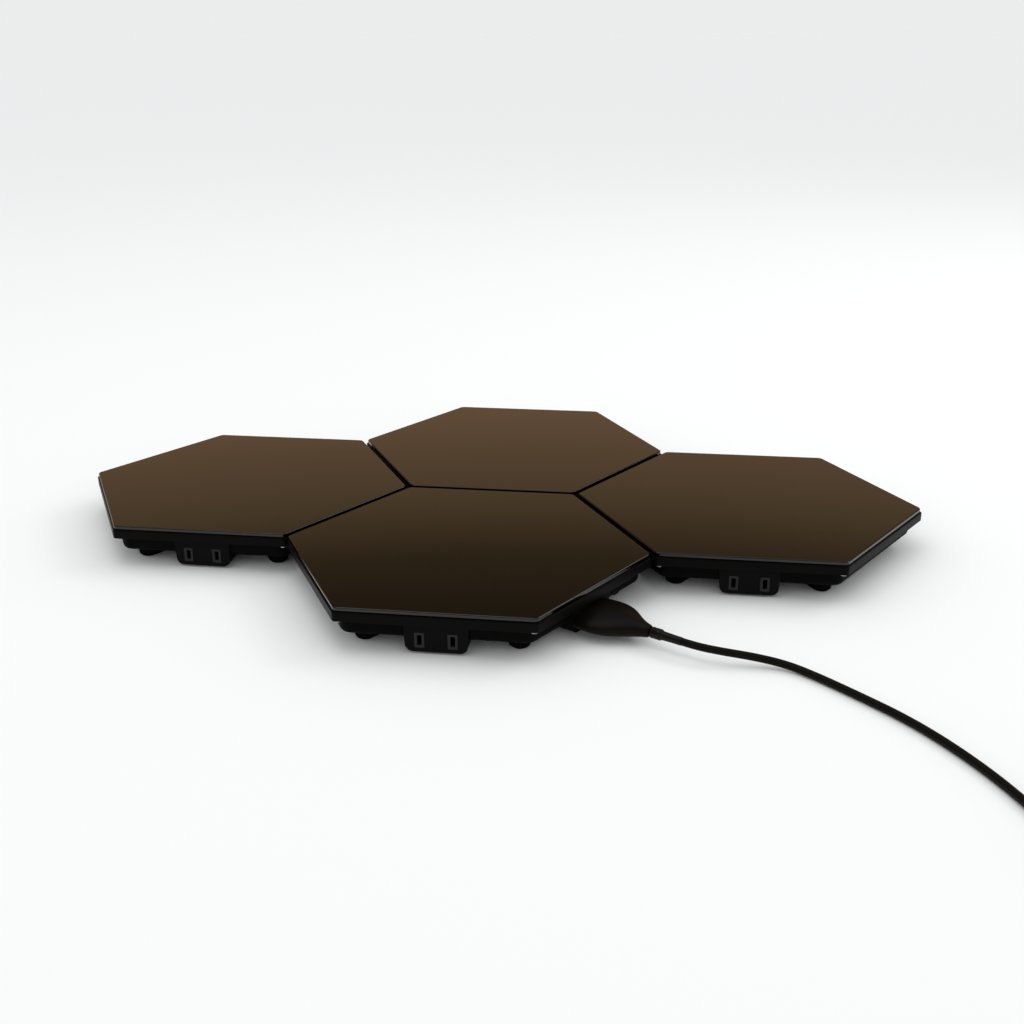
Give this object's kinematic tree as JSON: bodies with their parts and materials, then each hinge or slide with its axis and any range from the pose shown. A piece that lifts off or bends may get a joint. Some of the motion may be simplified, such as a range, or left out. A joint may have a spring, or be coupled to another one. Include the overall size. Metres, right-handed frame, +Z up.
{
  "type": "electric food warmer tray",
  "caption": "Modular electric food warmer: hexagonal black glass warming tiles joined in a honeycomb by blade links, fed by an appliance plug and cord.",
  "frame": {"origin": "on the table under the middle of the four tiles", "axes": "+Z up, +X along the row of the left and right tiles, -Y towards the near tile"},
  "size_m": [0.8887, 0.7709, 0.037],
  "materials": {
    "black_glass": "polished black tempered glass, opaque",
    "seal_silicone": "matt",
    "heating_film": "satin",
    "insulation_fibre": "matt fibrous",
    "frame_black": "satin black",
    "pan_black": "fine matt moulding",
    "housing_black": "fine matt moulding",
    "liner_grey": "matt",
    "contact_brass": "bright",
    "foot_rubber": "matt",
    "screw_steel": "zinc",
    "link_black": "fine matt moulding",
    "plug_black": "satin moulding",
    "relief_black": "satin",
    "cord_black": "satin",
    "tie_black": "satin",
    "mains_black": "satin moulding",
    "pin_brass": "nickel plated"
  },
  "bodies": {
    "front_tile": {"front_glass_top": "black_glass", "front_glass_seal": "seal_silicone", "front_heating_film": "heating_film", "front_insulation_board": "insulation_fibre", "front_top_frame": "frame_black", "front_base_pan": "pan_black", "front_socket_housings": "housing_black", "front_socket_liners": "liner_grey", "front_bus_bars": "contact_brass", "front_rubber_feet": "foot_rubber", "front_pan_screws": "screw_steel"},
    "back_tile": {"back_glass_top": "black_glass", "back_glass_seal": "seal_silicone", "back_heating_film": "heating_film", "back_insulation_board": "insulation_fibre", "back_top_frame": "frame_black", "back_base_pan": "pan_black", "back_socket_housings": "housing_black", "back_socket_liners": "liner_grey", "back_bus_bars": "contact_brass", "back_rubber_feet": "foot_rubber", "back_pan_screws": "screw_steel"},
    "left_tile": {"left_glass_top": "black_glass", "left_glass_seal": "seal_silicone", "left_heating_film": "heating_film", "left_insulation_board": "insulation_fibre", "left_top_frame": "frame_black", "left_base_pan": "pan_black", "left_socket_housings": "housing_black", "left_socket_liners": "liner_grey", "left_bus_bars": "contact_brass", "left_rubber_feet": "foot_rubber", "left_pan_screws": "screw_steel"},
    "right_tile": {"right_glass_top": "black_glass", "right_glass_seal": "seal_silicone", "right_heating_film": "heating_film", "right_insulation_board": "insulation_fibre", "right_top_frame": "frame_black", "right_base_pan": "pan_black", "right_socket_housings": "housing_black", "right_socket_liners": "liner_grey", "right_bus_bars": "contact_brass", "right_rubber_feet": "foot_rubber", "right_pan_screws": "screw_steel"},
    "link_front_back": {"link_front_back_body": "link_black", "link_front_back_blades": "contact_brass"},
    "link_front_right": {"link_front_right_body": "link_black", "link_front_right_blades": "contact_brass"},
    "link_back_left": {"link_back_left_body": "link_black", "link_back_left_blades": "contact_brass"},
    "supply_lead": {"plug_upper_shell": "plug_black", "plug_lower_shell": "plug_black", "plug_blades": "contact_brass", "cord_strain_relief": "relief_black", "power_cord": "cord_black", "cord_coil": "cord_black", "coil_tie": "tie_black", "mains_plug_body": "mains_black", "mains_plug_pins": "pin_brass"}
  },
  "joints": [
    {"name": "link_front_back_pull", "type": "slide", "parent": "front_tile", "child": "link_front_back", "axis": [0, 1, 0], "range_m": [0, 0.03]},
    {"name": "back_tile_pull", "type": "slide", "parent": "link_front_back", "child": "back_tile", "axis": [0, 1, 0], "range_m": [0, 0.06]},
    {"name": "link_front_right_pull", "type": "slide", "parent": "front_tile", "child": "link_front_right", "axis": [0.866, 0.5, 0], "range_m": [0, 0.03]},
    {"name": "right_tile_pull", "type": "slide", "parent": "link_front_right", "child": "right_tile", "axis": [0.866, 0.5, 0], "range_m": [0, 0.06]},
    {"name": "link_back_left_pull", "type": "slide", "parent": "back_tile", "child": "link_back_left", "axis": [-0.866, -0.5, 0], "range_m": [0, 0.03]},
    {"name": "left_tile_pull", "type": "slide", "parent": "link_back_left", "child": "left_tile", "axis": [-0.866, -0.5, 0], "range_m": [0, 0.06]},
    {"name": "supply_lead_pull", "type": "slide", "parent": "front_tile", "child": "supply_lead", "axis": [0.866, -0.5, 0], "range_m": [0, 0.06]}
  ]
}
